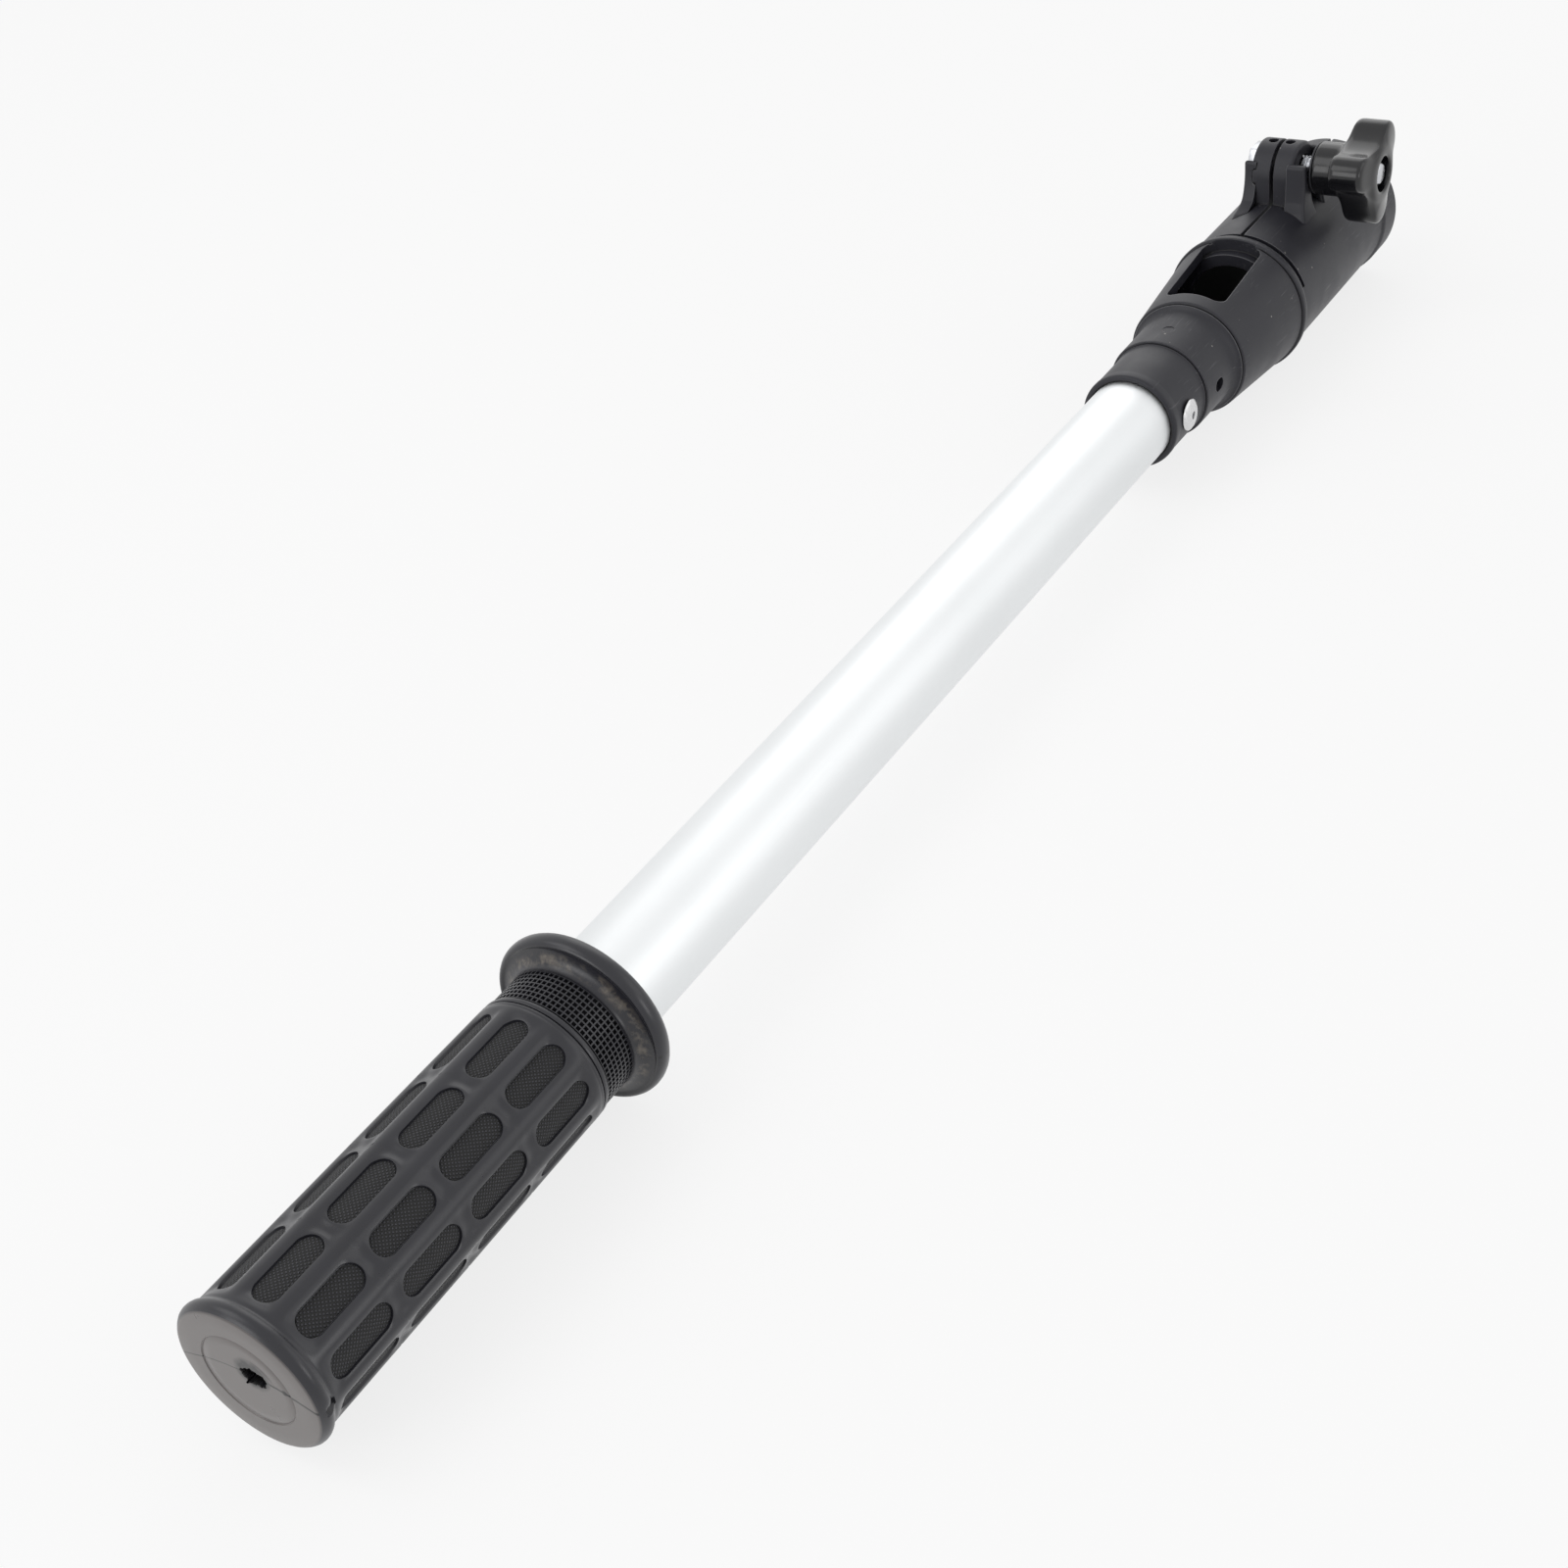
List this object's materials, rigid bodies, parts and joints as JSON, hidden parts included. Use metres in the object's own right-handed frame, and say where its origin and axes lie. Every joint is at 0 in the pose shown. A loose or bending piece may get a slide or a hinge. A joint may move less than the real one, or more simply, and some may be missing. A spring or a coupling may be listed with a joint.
{
  "type": "tiller extension",
  "caption": "Outboard tiller extension: a straight tube with a moulded rubber grip at one end and a split clamp collar, closed by a bolt and a lobed knob, at the other.",
  "frame": {"origin": "on the clamp bore's axis, directly below the clamp bolt", "axes": "+X along the bore out of the clamp's open mouth, +Z towards the ears, slit and window; the knob is on the -Y side and the grip at -X"},
  "size_m": [0.629, 0.0644, 0.0765],
  "materials": {
    "collar_plastic": "matt moulded",
    "tube_aluminium": "satin anodised",
    "grip_rubber": "satin moulded",
    "rivet_aluminium": "bright",
    "mandrel_steel": "plain",
    "bolt_steel": "bright",
    "washer_plastic": "matt moulded",
    "knob_plastic": "gloss moulded",
    "insert_brass": "turned"
  },
  "bodies": {
    "handle": {"clamp_collar": "collar_plastic", "tube": "tube_aluminium", "grip": "grip_rubber", "rivet_bodies": "rivet_aluminium", "rivet_mandrels": "mandrel_steel", "clamp_bolt": "bolt_steel"},
    "washer": {"knob_washer": "washer_plastic"},
    "knob": {"knob": "knob_plastic", "knob_insert": "insert_brass"}
  },
  "joints": [
    {"name": "knob_travel", "type": "slide", "parent": "handle", "child": "washer", "axis": [0, -1, 0], "range_m": [-0.00021, 0.00501]},
    {"name": "knob_turn", "type": "hinge", "parent": "washer", "child": "knob", "pos_m": [0, -0.02, 0.0354], "axis": [0, -1, 0], "range_deg": [-60, 1440]}
  ],
  "couplings": [
    {"joint": "knob_travel", "follows": "knob_turn", "m_per_rad": 0.00019894}
  ]
}
